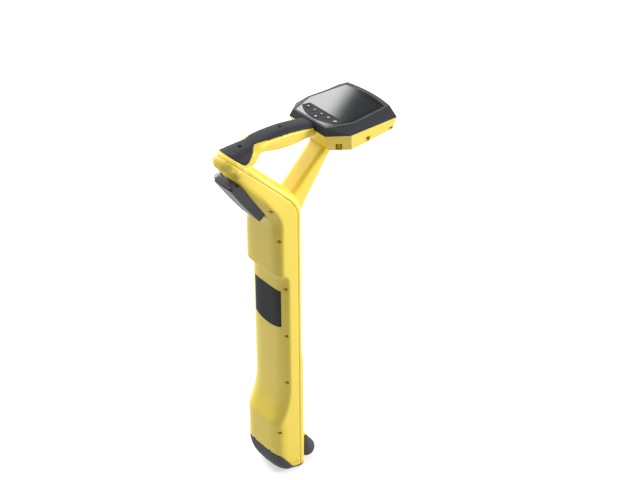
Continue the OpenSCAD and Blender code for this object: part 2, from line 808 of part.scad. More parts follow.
// Head: outlines run clockwise from above, stepped in by an even wall
bezel_far_on = 2;
base_far_in = 1;
near_turn_share = 0.52;
wide_turn_share = 0.3;
function head_outline(near, wide, far, y_near, y_wide, y_far, inset) = concat(
    [for (i = [0:bow_n]) let (s = 2 * i / bow_n - 1)
        [s * (far / 2 - inset), head_y + y_far - inset + far_bow * (1 - s * s)]],
    [[wide / 2 - inset, head_y + y_wide + inset * wide_turn_share],
     [near / 2 - inset * near_turn_share, head_y + y_near + inset],
     [-near / 2 + inset * near_turn_share, head_y + y_near + inset],
     [-wide / 2 + inset, head_y + y_wide + inset * wide_turn_share]]
);
function rim_outline(inset) = head_outline(near_w, wide_w, far_w, 0, wide_run, far_run, inset);
function top_outline(inset) =
    head_outline(near_w - 2 * bezel_near_in, wide_w - 2 * bezel_wide_in, far_w - 2 * bezel_far_in,
                 bezel_near_in, wide_run + bezel_wide_on, far_run + bezel_far_on, inset);
function low_outline(inset) =
    head_outline(near_w - 2 * base_side_in, wide_w - 2 * base_side_in, far_w - 2 * base_side_in,
                 base_near_in, wide_run + base_side_in, far_run - base_far_in, inset);
low_wide_y = head_y + wide_run + base_side_in;
low_far_y = head_y + far_run - base_far_in;
floor_tilt = atan(base_rise / (low_far_y - low_wide_y));
function floor_at(y) = head_z - base_h + (y - low_wide_y) * base_rise / (low_far_y - low_wide_y);
function lifted(outline, z) = [for (p = outline) [p.x, p.y, z]];
function floored(outline, lift) = [for (p = outline) [p.x, p.y, floor_at(p.y) + lift]];
rim_z = head_z - gasket_t;
top_z = head_z + bezel_h;
glass_low_z = top_z - glass_t - fit_gap;
deck_low_z = glass_low_z - deck_t;
module base_form(inset, rise) {
    loft([floored(low_outline(inset), inset), lifted(rim_outline(inset), rim_z),
          lifted(rim_outline(inset), rim_z + rise)]);
}
module bezel_form(inset) {
    loft([lifted(rim_outline(inset), head_z), lifted(top_outline(inset), top_z)]);
}
// A frame on the base's sloped floor: Z points up into the head
module floor_frame(y) {
    translate([0, y, floor_at(y)]) rotate([floor_tilt, 0, 0]) children();
}

// Head screws: one in the middle of each slanted near corner and two along each side
corner_share = 0.42;
side_screw_shares = [0.572, 0.945];
screw_in = 6;
pocket_w = 10;
pocket_h = 10.5;
pocket_lip = 1.2;
near_corner = [near_w / 2 - base_side_in, head_y + base_near_in];
wide_corner = [wide_w / 2 - base_side_in, head_y + wide_run + base_side_in];
far_corner = [far_w / 2 - base_side_in, head_y + far_run - base_far_in];
corner_way = (wide_corner - near_corner) / norm(wide_corner - near_corner);
corner_turn = atan2(corner_way.y, corner_way.x) - 90;
// Places of the right-hand screws: across, along, and the way the pocket faces
head_screws = concat(
    [let (q = mix(near_corner, wide_corner, corner_share))
        [q.x - screw_in * corner_way.y, q.y + screw_in * corner_way.x, corner_turn]],
    [for (f = side_screw_shares)
        let (y = head_y + f * far_run, t = (y - wide_corner.y) / (far_corner.y - wide_corner.y))
            [mix(wide_corner.x, far_corner.x, t) - screw_in, y, 0]]
);
module at_head_screws() {
    for (q = head_screws) {
        $floor_z = floor_at(q.y);
        translate([q.x, q.y, 0]) rotate([0, 0, q.z]) children();
        translate([-q.x, q.y, 0]) rotate([0, 0, 180 - q.z]) children();
    }
}
head_seat_z = head_z - base_h + pocket_h + base_rise / 2;
post_r = 3;
board_t = 1.6;
lcd_w = 84;
lcd_l = 68;
lcd_t = 6;
lcd_top_z = glass_low_z - fit_gap;
board_top_z = lcd_top_z - lcd_t - fit_gap;
board_low_z = board_top_z - board_t;
lcd_near_y = head_y + pad_far_run + 2 * frame_w;
module at_board_posts() {
    for (x = [-1, 1], y = [0, 1])
        translate([x * (lcd_w / 2 - 2 * post_r), lcd_near_y + post_r + y * (lcd_l - 2 * post_r), 0])
            children();
}

speaker_r = 18;
speaker_h = 9;
speaker_y = head_y + far_run * 5 / 7;
socket_y = head_y + far_run * 3 / 7;
socket_wall = 2;
socket_rim = 3.4;
socket_body_r = socket_r + socket_wall;
socket_flange_r = socket_r + socket_rim;
socket_flange_t = 1.5;
harness_r = 3;
harness_y = 98;

// A pocket open to the side, with a thin lip under it and a collar round the driver's way in
collar_h = 4;
module head_pocket() {
    low = $floor_z + pocket_lip;
    difference() {
        translate([-pocket_w / 2, -pocket_w / 2, low]) cube([wand_w, pocket_w, head_seat_z - low]);
        translate([0, 0, low - over]) cylinder(r = boss_r, h = over + collar_h, $fn = 20);
    }
}

module display_base() color(yellow) {
    difference() {
        moulded() {
            difference() {
                base_form(0, 0);
                base_form(shell_t, over);
                at_head_screws() head_pocket();
                translate([0, head_y, handle_z + handle_h / 5]) rotate([-90, 0, 0])
                    cylinder(r = harness_r, h = 2 * base_near_in, center = true, $fn = 24);
            }
            intersection() {
                at_head_screws() difference() {
                    translate([-boss_r - shell_t, -boss_r - shell_t, 0])
                        cube([wand_w, 2 * (boss_r + shell_t), rim_z - shell_t]);
                    head_pocket();
                }
                base_form(0, 0);
            }
            intersection() {
                at_board_posts() cylinder(r = post_r, h = board_low_z - pin_gap, $fn = 20);
                base_form(0, bezel_h);
            }
        }
        at_head_screws() translate([0, 0, head_seat_z - over])
            cylinder(r = screw_r + fit_gap, h = 2 * base_h);
        at_head_screws() translate([0, 0, head_seat_z - 2 * base_h])
            cylinder(r = head_screw_r + fit_gap, h = 2 * base_h - pocket_lip);
        floor_frame(socket_y) translate([0, 0, -over]) cylinder(r = socket_body_r + fit_gap, h = 3 * over);
        floor_frame(speaker_y) for (a = [0:60:300]) rotate([0, 0, a]) translate([speaker_r / 2, 0, -over])
            cylinder(r = screw_r, h = 3 * over);
        translate([0, harness_y, head_z - 2 * base_h]) cylinder(r = harness_r * 5 / 3, h = 2 * base_h);
    }
}

module display_gasket() color(black) {
    translate([0, 0, rim_z]) linear_extrude(gasket_t) difference() {
        polygon(rim_outline(fit_gap * 2));
        polygon(rim_outline(shell_t));
    }
}

// Glass: its near and wide corners, and its half width beside the corners of the keypad panel
near_glass = [near_w / 2 - bezel_near_in - frame_w * near_turn_share, head_y + bezel_near_in + frame_w];
wide_glass = [wide_w / 2 - bezel_wide_in - frame_w,
              head_y + wide_run + bezel_wide_on + frame_w * wide_turn_share];
pad_end_y = head_y + pad_far_run - pad_end_l;
glass_at_pad = mix(near_glass.x, wide_glass.x, (pad_end_y - near_glass.y) / (wide_glass.y - near_glass.y));
pad_w = 2 * (glass_at_pad - pad_side_in);
// Keypad outline: straight far edge, bowed near edge, drawn clockwise and grown by a margin
pad_n = 10;
function pad_outline(grow) =
    let (w = pad_w / 2 + grow, y = head_y + pad_far_run + grow)
        concat(
            [[-w + pad_end_l / 3, y], [w - pad_end_l / 3, y]],
            [for (i = [0:pad_n]) let (s = 1 - 2 * i / pad_n)
                [s * w, y - pad_end_l - 2 * grow - (pad_mid_l - pad_end_l) * (1 - s * s)]]
        );
function glass_outline(inset) =
    head_outline(near_w - 2 * bezel_near_in, wide_w - 2 * bezel_wide_in, far_w - 2 * bezel_far_in,
                 bezel_near_in, wide_run + bezel_wide_on, far_run + bezel_far_on - frame_far_w,
                 frame_w + inset);

pad_post_r = 2.5;
pad_board_in = 6;
pad_board_w = pad_w - 2 * pad_board_in;
pad_board_l = 24;
pad_board_y = head_y + pad_far_run - key_row_in - pad_board_l * 5 / 7;
key_top_z = top_z - fit_gap;
pad_low_z = glass_low_z + pin_gap;
pad_top_z = pad_low_z + pad_t;
flange_t = 1;
key_rim = 0.6;
flange_r = key_r + key_rim;
flange_top_z = pad_low_z - pin_gap * 2;
key_post_l = 0.5;
dome_h = 0.5;
key_low_z = flange_top_z - flange_t - key_post_l;
pad_board_top_z = key_low_z - key_travel - pin_gap * 2 - dome_h;
module at_pad_posts() {
    for (x = [-1, 1])
        translate([x * (pad_board_w / 2 - pad_post_r), pad_board_y + pad_board_l - pad_post_r, 0]) children();
}
module display_bezel() color(charcoal) {
    difference() {
        moulded() {
            difference() {
                bezel_form(0);
                loft([lifted(rim_outline(shell_t), head_z - over), lifted(rim_outline(shell_t), head_z),
                      lifted(top_outline(shell_t), deck_low_z)]);
            }
            intersection() {
                at_head_screws() cylinder(r = boss_r, h = top_z, $fn = 20);
                loft([lifted(rim_outline(0), head_z), lifted(top_outline(0), deck_low_z + deck_t / 2)]);
            }
            at_pad_posts() translate([0, 0, pad_board_top_z + pin_gap])
                cylinder(r = pad_post_r, h = deck_low_z + deck_t / 2 - pad_board_top_z, $fn = 20);
        }
        translate([0, 0, glass_low_z]) linear_extrude(2 * over) polygon(glass_outline(-fit_gap));
        translate([-lcd_w / 2 - run_gap, lcd_near_y - run_gap, head_z])
            cube([lcd_w + 2 * run_gap, lcd_l + 2 * run_gap, 2 * bezel_h]);
        translate([0, 0, head_z]) linear_extrude(2 * bezel_h) polygon(pad_outline(-pad_t / 2));
        at_head_screws() translate([0, 0, head_z - over])
            cylinder(r = screw_r + pin_gap, h = over + screw_grip_l + fit_gap);
    }
}

module display_glass() color(black) {
    translate([0, 0, glass_low_z + pin_gap]) linear_extrude(glass_t) difference() {
        polygon(glass_outline(0));
        polygon(pad_outline(fit_gap));
    }
}

module display_screws() color("dimgray") {
    at_head_screws() translate([0, 0, head_seat_z]) screw(head_z + screw_grip_l - head_seat_z);
}

module lcd_module() color("slategray") {
    translate([-lcd_w / 2, lcd_near_y, lcd_top_z - lcd_t]) cube([lcd_w, lcd_l, lcd_t]);
}

module main_board() color("darkgreen") {
    translate([-lcd_w / 2, lcd_near_y - post_r, board_low_z]) cube([lcd_w, lcd_l + 2 * post_r, board_t]);
    translate([-2 * harness_r, lcd_near_y - post_r, board_low_z - board_t])
        cube([4 * harness_r, 2 * post_r, board_t]);
}

module loudspeaker() color(black) {
    floor_frame(speaker_y) translate([0, 0, shell_t + fit_gap]) {
        cylinder(r = speaker_r, h = speaker_h / 3);
        translate([0, 0, speaker_h / 3]) cylinder(r1 = speaker_r, r2 = speaker_r / 2, h = speaker_h / 3);
        translate([0, 0, speaker_h * 2 / 3]) cylinder(r = speaker_r / 2, h = speaker_h / 3);
    }
}

module accessory_socket() color(black) {
    floor_frame(socket_y) difference() {
        union() {
            translate([0, 0, -socket_flange_t - pin_gap]) cylinder(r = socket_flange_r, h = socket_flange_t);
            translate([0, 0, -pin_gap - socket_flange_t])
                cylinder(r = socket_body_r, h = socket_l + socket_flange_t + shell_t);
        }
        translate([0, 0, -socket_flange_t - over]) cylinder(r = socket_r, h = socket_l + over);
    }
}

// Keys: a row along the panel's far edge and one below its middle
key_row_y = head_y + pad_far_run - key_row_in;
key_pitch = (pad_w / 2 - key_end_in) / 2;
function key_place(i) = i < 5 ? [(i - 2) * key_pitch, key_row_y] : [0, key_row_y - key_drop];
module keypad_panel() color(charcoal) {
    translate([0, 0, pad_low_z]) linear_extrude(pad_t) difference() {
        polygon(pad_outline(0));
        for (i = [0:5]) translate(key_place(i)) circle(r = key_r + run_gap);
    }
}
module keypad_board() color("darkgreen") {
    translate([-pad_board_w / 2, pad_board_y, pad_board_top_z - board_t])
        cube([pad_board_w, pad_board_l, board_t]);
    for (i = [0:5]) translate(concat(key_place(i), pad_board_top_z)) cylinder(r = key_r * 3 / 5, h = dome_h);
}
module key(i) {
    color("dimgray") translate(key_place(i)) {
        translate([0, 0, flange_top_z]) cylinder(r = key_r, h = key_top_z - flange_top_z);
        translate([0, 0, flange_top_z - flange_t]) cylinder(r = flange_r, h = flange_t);
        translate([0, 0, key_low_z]) cylinder(r = key_r * 2 / 5, h = key_post_l);
    }
}
module power_key() { key(0); }
module back_key() { key(1); }
module up_key() { key(2); }
module menu_key() { key(3); }
module sound_key() { key(4); }
module select_key() { key(5); }

// Battery door: a chamfered cover that turns on a barrel at its lower end
knuckle_w = 7;
knuckle_x = 10;
door_corner = 15;
door_wall = 2.6;
door_crown = 0.5;
slot_top = hinge_out + eye_r + run_gap;
module barrel(axis_run, axis_out, r, x0, x1) {
    translate([x0, axis_run, axis_out]) rotate([0, 90, 0]) cylinder(r = r, h = x1 - x0);
}
// Side view of the door, as (up the slope, out of the neck)
module door_side() {
    polygon(concat(
        arc(-hinge_run, hinge_out, barrel_r, 90, 270, 16),
        [[door_top_run, door_lift], [door_top_run, door_t], [0, door_t + door_crown],
         [-hinge_run / 2, door_t]]
    ));
}
module door_inside() {
    low = -hinge_run + barrel_r + door_wall;
    polygon([
        [low, -over], [door_top_run - door_wall, -over], [door_top_run - door_wall, door_t - door_wall],
        [low, door_t - door_wall - door_crown]
    ]);
}
// Cross section of the door, as (across, out of the neck)
module door_section(inset) {
    rim = door_w / 2 - inset;
    face = door_face_w / 2 - inset;
    rim_h = land_h + 2 * door_lift;
    polygon([
        [-rim, -over], [rim, -over], [rim, rim_h], [face, door_t - door_crown],
        [face - door_corner / 2, 2 * door_t], [-face + door_corner / 2, 2 * door_t],
        [-face, door_t - door_crown], [-rim, rim_h]
    ]);
}
module door_plan() {
    low = -hinge_run - barrel_r - door_lift;
    polygon(concat(
        [[-door_w / 2, latch_top_run], [door_w / 2, latch_top_run]],
        arc(door_w / 2 - door_corner, low + door_corner, door_corner, 0, -90, 8),
        arc(-door_w / 2 + door_corner, low + door_corner, door_corner, -90, -180, 8)
    ));
}
module up_slope() {
    long = 2 * (hinge_run + latch_top_run);
    translate([0, long / 2, 0]) rotate([90, 0, 0]) linear_extrude(long) children();
}
module at_knuckles() {
    for (side = [-1, 1]) translate([side * (knuckle_x + knuckle_w / 2), 0, 0]) children();
}
module battery_door() color(charcoal) {
    door_frame() difference() {
        union() {
            intersection() {
                across(door_w) door_side();
                up_slope() door_section(0);
                linear_extrude(2 * door_t) door_plan();
            }
            at_knuckles() barrel(latch_axis_run, latch_axis_out, knuckle_r, -knuckle_w / 2, knuckle_w / 2);
            at_knuckles()
                translate([-knuckle_w / 2, door_top_run - door_wall / 2, latch_axis_out - knuckle_r / 2])
                cube([knuckle_w, latch_axis_run - door_top_run + door_wall / 2, knuckle_r]);
        }
        intersection() {
            across(door_w) door_inside();
            up_slope() door_section(door_wall);
        }
        translate([-lug_w / 2 - run_gap, -hinge_run - 2 * barrel_r, -over])
            cube([lug_w + 2 * run_gap, 3 * barrel_r + door_wall, over + slot_top]);
        barrel(-hinge_run, hinge_out, pin_r + pin_gap, -door_w, door_w);
        barrel(latch_axis_run, latch_axis_out, pin_r + pin_gap, -door_w, door_w);
    }
}
module door_hinge_pin() color("silver") {
    door_frame() barrel(-hinge_run, hinge_out, pin_r, -door_w / 4, door_w / 4);
}
latch_pin_l = latch_w * 4 / 5;
module latch_pin() color("silver") {
    door_frame() barrel(latch_axis_run, latch_axis_out, pin_r, -latch_pin_l / 2, latch_pin_l / 2);
}
// Latch: a bowed thumb piece that turns on its pin above the door
latch_bow = 4;
latch_round = 6;
latch_tuck = 2.4;
latch_bevel = 2;
module latch_side() {
    polygon(concat(
        arc(latch_axis_run, latch_axis_out, knuckle_r + pin_gap, 150, 250, 10),
        [
            [latch_top_run - latch_bevel, door_lift], [latch_top_run, door_lift + latch_bevel],
            [latch_top_run, latch_h / 2], [latch_top_run - latch_bevel * 3 / 4, latch_h * 4 / 5],
            [latch_axis_run + door_lift, latch_h],
            [latch_axis_run - door_lift, latch_h - door_crown]
        ]
    ));
}
module latch_section() {
    polygon(concat(
        [[latch_w / 2, -over], [-latch_w / 2, -over]],
        [for (i = [0:bow_n])
            let (f = 2 * i / bow_n - 1) [f * latch_w / 2, latch_h + door_crown - latch_bow * f * f]]
    ));
}
module latch_plan() {
    polygon(concat(
        [[latch_w / 2, -hinge_run], [-latch_w / 2, -hinge_run]],
        [for (i = [0:bow_n])
            let (f = 2 * i / bow_n - 1) [f * latch_w / 2, latch_top_run - latch_round * f * f * f * f]]
    ));
}
module door_latch() color(charcoal) {
    door_frame() difference() {
        intersection() {
            across(latch_w) latch_side();
            up_slope() latch_section();
            linear_extrude(2 * latch_h) latch_plan();
        }
        at_knuckles() barrel(latch_axis_run, latch_axis_out, knuckle_r + run_gap, -knuckle_w / 2 - run_gap,
                             knuckle_w / 2 + run_gap);
        at_knuckles() translate([-knuckle_w / 2 - run_gap, latch_axis_run - 2 * barrel_r, -over])
            cube([knuckle_w + 2 * run_gap, 2 * barrel_r, over + latch_axis_out + knuckle_r + run_gap]);
        barrel(latch_axis_run, latch_axis_out, pin_r + pin_gap, -latch_pin_l / 2 - fit_gap,
               latch_pin_l / 2 + fit_gap);
        translate([-keeper_w / 2, keeper_run - keeper_wall, -over])
            cube([keeper_w, keeper_l + keeper_wall, over + latch_tuck]);
    }
}
// Bent leaf on the latch whose hook snaps under the edge of the keeper slot
spring_t = 0.6;
spring_w = 10;
hook_l = 2;
module latch_spring() color("silver") {
    leg_low = -seat_t - spring_t - pin_gap;
    leg_run = keeper_l - spring_t - fit_gap;
    door_frame() translate([-spring_w / 2, keeper_run, 0]) {
        translate([0, -keeper_wall / 2, latch_tuck - spring_t - pin_gap])
            cube([spring_w, leg_run + keeper_wall, spring_t]);
        translate([0, leg_run, leg_low]) cube([spring_w, spring_t, latch_tuck - pin_gap - leg_low]);
        translate([0, leg_run, leg_low]) cube([spring_w, spring_t + hook_l, spring_t]);
    }
}
module door_seal() color(black) {
    seal_w = 2;
    door_frame() translate([0, bay_mid, 0]) linear_extrude(door_lift - pin_gap * 4) difference() {
        square([bay_w + 3 * seal_w, bay_l + 3 * seal_w], center = true);
        square([bay_w + seal_w, bay_l + seal_w], center = true);
    }
}

// Power: a tray behind the bay opening, the pack in it and the spring contacts at its lower end
tray_t = 1.2;
tray_top = -seat_t - fit_gap;
contact_l = 4;
module battery_tray() color("dimgray") {
    door_frame() translate([0, bay_mid, tray_top]) difference() {
        translate([-bay_w / 2 - tray_t, -bay_l / 2 - tray_t - contact_l, -pack_t - tray_t - fit_gap])
            cube([bay_w + 2 * tray_t, bay_l + 2 * tray_t + contact_l, pack_t + tray_t + fit_gap]);
        translate([-bay_w / 2, -bay_l / 2 - contact_l, -pack_t - fit_gap])
            cube([bay_w, bay_l + contact_l, pack_t + over]);
    }
}
module battery_pack() color("navy") {
    door_frame() translate([-pack_w / 2, bay_mid - pack_l / 2, tray_top - pack_t])
        cube([pack_w, pack_l, pack_t]);
}
contact_w = 7;
module battery_contacts() color("gold") {
    door_frame() for (side = [-1, 1])
        translate([side * pack_w / 4 - contact_w / 2, bay_mid - bay_l / 2 - contact_l + fit_gap,
                   tray_top - pack_t + fit_gap])
            cube([contact_w, contact_l - fit_gap, pack_t / 2]);
}

// Antennas: a long board between the screw bosses carries three wound ferrite rods
mast_w = 2 * (screw_x - boss_r - run_gap);
mast_back_y = 1;
mast_low_z = 70;
mast_top_z = 512;
coil_gap = 1;
rod_y = mast_back_y - coil_r - coil_gap;
saddle_w = 6;
saddle_x = rod_l / 2 - saddle_w;
module rod_frame(z, upright) {
    translate([0, rod_y, z]) rotate(upright ? [0, 0, 0] : [0, 90, 0]) children();
}
module antenna_mast() color("darkgreen") {
    difference() {
        union() {
            translate([-mast_w / 2, mast_back_y, mast_low_z])
                cube([mast_w, board_t, mast_top_z - mast_low_z]);
            for (z = [lower_antenna_z, upper_antenna_z], side = [-1, 1])
                translate([side * saddle_x - saddle_w / 2, rod_y, z - rod_r])
                    cube([saddle_w, mast_back_y - rod_y, 2 * rod_r]);
            for (side = [-1, 1])
                translate([-rod_r, rod_y, mid_antenna_z + side * saddle_x - saddle_w / 2])
                    cube([2 * rod_r, mast_back_y - rod_y, saddle_w]);
            translate([-2 * harness_r, mast_back_y, mast_top_z - 4 * harness_r])
                cube([4 * harness_r, 4 * harness_r, 4 * harness_r]);
        }
        rod_frame(lower_antenna_z, false) cylinder(r = rod_r + fit_gap, h = rod_l, center = true);
        rod_frame(upper_antenna_z, false) cylinder(r = rod_r + fit_gap, h = rod_l, center = true);
        rod_frame(mid_antenna_z, true) cylinder(r = rod_r + fit_gap, h = rod_l, center = true);
    }
}
module ferrite(z, upright) {
    color(black) rod_frame(z, upright) cylinder(r = rod_r, h = rod_l, center = true);
}
module coil(z, upright) {
    color("darkorange") rod_frame(z, upright) difference() {
        cylinder(r = coil_r, h = coil_l, center = true);
        cylinder(r = rod_r + fit_gap, h = coil_l + over, center = true);
    }
}
module lower_ferrite() { ferrite(lower_antenna_z, false); }
module lower_coil() { coil(lower_antenna_z, false); }
module upper_ferrite() { ferrite(upper_antenna_z, false); }
module upper_coil() { coil(upper_antenna_z, false); }
module upright_ferrite() { ferrite(mid_antenna_z, true); }
module upright_coil() { coil(mid_antenna_z, true); }

// Harness: from the plug on the mast, up inside the strut, to the plug under the main board
harness_points = [
    [7, 512.1], [8, 522], [14, 535], [26, 550], [40, 567], [57, 585], [73, 603], [86, 618], [94, 629],
    [98, 638], [101, 647], [106, 657], [110, 663], [110, 666.3]
];
harness_n = 8;
harness_last = len(harness_points) - 1;
function harness_step(i) = harness_points[min(i + 1, harness_last)] - harness_points[max(i - 1, 0)];
function harness_way(i) = i == 0 || i == harness_last ? [0, 1] : harness_step(i) / norm(harness_step(i));
module main_harness() color(black) {
    loft([for (i = [0:harness_last])
        let (p = harness_points[i], d = harness_way(i))
            [for (k = [0:harness_n - 1])
                let (t = 360 * k / harness_n)
                    [harness_r * sin(t), p[0] + harness_r * cos(t) * d[1],
                     p[1] - harness_r * cos(t) * d[0]]]]);
}

rear_shell();
front_shell();
handle_grip();
grip_screws();
shell_screws();
foot_boot();
front_bumper();
bumper_bolts();
rating_label();
display_base();
display_gasket();
display_bezel();
display_glass();
display_screws();
lcd_module();
main_board();
loudspeaker();
accessory_socket();
keypad_panel();
keypad_board();
power_key();
back_key();
up_key();
menu_key();
sound_key();
select_key();
battery_door();
door_hinge_pin();
door_latch();
latch_pin();
latch_spring();
door_seal();
battery_tray();
battery_pack();
battery_contacts();
antenna_mast();
lower_ferrite();
lower_coil();
upper_ferrite();
upper_coil();
upright_ferrite();
upright_coil();
main_harness();
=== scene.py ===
# A hand-held cable locator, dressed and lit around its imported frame. Lengths are metres.
import json
import math

import bpy
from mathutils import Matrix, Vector


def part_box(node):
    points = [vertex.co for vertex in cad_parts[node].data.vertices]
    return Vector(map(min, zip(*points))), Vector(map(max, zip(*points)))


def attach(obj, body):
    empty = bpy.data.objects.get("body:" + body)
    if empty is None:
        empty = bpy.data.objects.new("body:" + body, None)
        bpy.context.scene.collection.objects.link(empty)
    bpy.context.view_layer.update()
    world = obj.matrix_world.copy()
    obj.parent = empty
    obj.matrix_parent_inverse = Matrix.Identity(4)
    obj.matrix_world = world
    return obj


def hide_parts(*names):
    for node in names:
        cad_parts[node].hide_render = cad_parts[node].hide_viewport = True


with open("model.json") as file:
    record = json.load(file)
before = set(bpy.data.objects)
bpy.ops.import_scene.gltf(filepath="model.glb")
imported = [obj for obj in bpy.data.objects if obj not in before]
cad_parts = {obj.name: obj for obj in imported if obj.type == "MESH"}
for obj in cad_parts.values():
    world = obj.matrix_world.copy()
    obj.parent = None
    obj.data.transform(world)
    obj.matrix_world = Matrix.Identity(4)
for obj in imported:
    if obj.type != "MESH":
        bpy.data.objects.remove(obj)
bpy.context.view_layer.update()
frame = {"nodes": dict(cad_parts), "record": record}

# Viewpoint. The locator is seen from its right and from behind, well above the grip,
# through a long lens that keeps the upright lines of the wand nearly parallel.
photo_width_px = 640
focal_px = 1539
film_width_mm = 36
camera_tilt = math.radians(90 - 34.43)
camera_turn = math.radians(49.74)
camera_data = bpy.data.cameras.new("viewpoint")
camera_data.sensor_width = film_width_mm
camera_data.lens = film_width_mm * focal_px / photo_width_px
camera = bpy.data.objects.new("viewpoint", camera_data)
camera.location = (1.6379, -1.2969, 1.9052)
camera.rotation_euler = (camera_tilt, 0, camera_turn)
bpy.context.scene.collection.objects.link(camera)
bpy.context.scene.camera = camera
bpy.context.scene.view_settings.view_transform = "Standard"


# Studio. A white table top runs out to a white room, so the locator stands on a plain pale ground
# and only its own soft shadow shows there. Soft boxes stand to its right, to its left and above it.
def linear(hexadecimal):
    parts = [int(hexadecimal[i:i + 2], 16) / 255 for i in (1, 3, 5)]
    return (*[p / 12.92 if p <= 0.04045 else ((p + 0.055) / 1.055) ** 2.4 for p in parts], 1)


def add(tree, kind, links=None, **settings):
    node = tree.nodes.new(kind)
    for name, value in settings.items():
        if hasattr(node, name):
            setattr(node, name, value)
        else:
            node.inputs[name.replace("_", " ")].default_value = value
    for socket, source in (links or {}).items():
        tree.links.new(source, node.inputs[socket])
    return node


def empty_material(name):
    material = bpy.data.materials.new(name)
    material.use_nodes = True
    material.node_tree.nodes.clear()
    return material, material.node_tree


# True for rays that show the room or the table: straight to the eye, through glass, or off a gloss.
def seen_rays(tree):
    rays = add(tree, "ShaderNodeLightPath")
    direct = add(tree, "ShaderNodeMath", {0: rays.outputs["Is Camera Ray"],
                 1: rays.outputs["Is Transmission Ray"]}, operation="MAXIMUM")
    return add(tree, "ShaderNodeMath", {0: direct.outputs[0], 1: rays.outputs["Is Glossy Ray"]},
               operation="MAXIMUM")


white = (1, 1, 1, 1)
room_light = 0.22
world = bpy.data.worlds.new("white_room")
world.use_nodes = True
room = world.node_tree
room.nodes.clear()
level = add(room, "ShaderNodeMapRange", {"Value": seen_rays(room).outputs[0]}, To_Min=room_light, To_Max=1)
sky = add(room, "ShaderNodeBackground", {"Strength": level.outputs[0]}, Color=white)
add(room, "ShaderNodeOutputWorld", {"Surface": sky.outputs[0]})
bpy.context.scene.world = world

# Matt white paper: it takes the shadow, and a glow that grows with distance keeps it white all over.
table_size = 8
near_lift, far_lift = 0.58, 0.86
near_reach, far_reach = 0.8, 3.2
bpy.ops.object.select_all(action="DESELECT")
bpy.ops.mesh.primitive_plane_add(size=table_size)
table = bpy.context.object
table.name = "table_top"
paper, tree = empty_material("white_paper")
away = add(tree, "ShaderNodeVectorMath", {0: add(tree, "ShaderNodeTexCoord").outputs["Object"]},
           operation="LENGTH")
rise = add(tree, "ShaderNodeMapRange", {"Value": away.outputs["Value"]}, From_Min=near_reach,
           From_Max=far_reach, To_Min=near_lift, To_Max=far_lift)
lift = add(tree, "ShaderNodeMath", {0: seen_rays(tree).outputs[0], 1: rise.outputs[0]},
           operation="MULTIPLY")
matt = add(tree, "ShaderNodeBsdfDiffuse", Color=linear("#CFCFCF"))
glow = add(tree, "ShaderNodeEmission", {"Strength": lift.outputs[0]}, Color=white)
both = add(tree, "ShaderNodeAddShader", {0: matt.outputs[0], 1: glow.outputs[0]})
add(tree, "ShaderNodeOutputMaterial", {"Surface": both.outputs[0]})
table.data.materials.append(paper)

lamp_aim = Vector((0, 0.02, 0.45))


def lamp(name, way, distance, size, power):
    data = bpy.data.lights.new(name, "AREA")
    data.size = size
    data.energy = power
    body = bpy.data.objects.new(name, data)
    bpy.context.scene.collection.objects.link(body)
    body.location = lamp_aim + Vector(way).normalized() * distance
    body.rotation_euler = Vector(way).to_track_quat("Z", "Y").to_euler()


lamp("right_softbox", (0.66, 0.72, 0.32), distance=2.4, size=0.9, power=54)
lamp("left_softbox", (-1.0, -0.06, 0.38), distance=2.4, size=1.2, power=76)
lamp("top_softbox", (0.0, -0.10, 1.0), distance=2.2, size=1.2, power=21)


# Yellow casings. Two ABS shells meet along the parting line of the wand, the neck and the handle.
# They are injection moulded, so every edge is eased, and six screws a side hold them together.
housing_of = {node: body for body, nodes in frame["record"]["behaviour"]["bodies"].items() for node in nodes}
merge_reach = 1e-5


def pick(piece):
    bpy.ops.object.select_all(action="DESELECT")
    piece.select_set(True)
    bpy.context.view_layer.objects.active = piece


def shape(piece, kind, **settings):
    modifier = piece.modifiers.new(kind.lower(), kind)
    for name, value in settings.items():
        setattr(modifier, name, value)
    pick(piece)
    bpy.ops.object.modifier_apply(modifier=modifier.name)


def copy_of(node):
    piece = bpy.data.objects.new(node + "_skin", frame["nodes"][node].data.copy())
    bpy.context.scene.collection.objects.link(piece)
    pick(piece)
    bpy.ops.object.mode_set(mode="EDIT")
    bpy.ops.mesh.select_all(action="SELECT")
    bpy.ops.mesh.remove_doubles(threshold=merge_reach)
    bpy.ops.object.mode_set(mode="OBJECT")
    return piece


def stand_for(piece, node, material):
    piece.data.materials.clear()
    piece.data.materials.append(material)
    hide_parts(node)
    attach(piece, housing_of[node])
    return piece


def moulded_skin(piece, node, material, voxel, passes):
    shape(piece, "REMESH", mode="VOXEL", voxel_size=voxel, use_smooth_shade=True)
    shape(piece, "SMOOTH", factor=0.5, iterations=passes)
    return stand_for(piece, node, material)


# The flow of the melt leaves a slow drift of tone, 70 mm across. Spark grain is finer than it can
# show here, so it is drawn at about a millimetre, as a slight break in the gloss and a shallow relief.
flow_size = 0.07
gloss_spread = (-0.05, 0.07)
relief_strength = 0.35


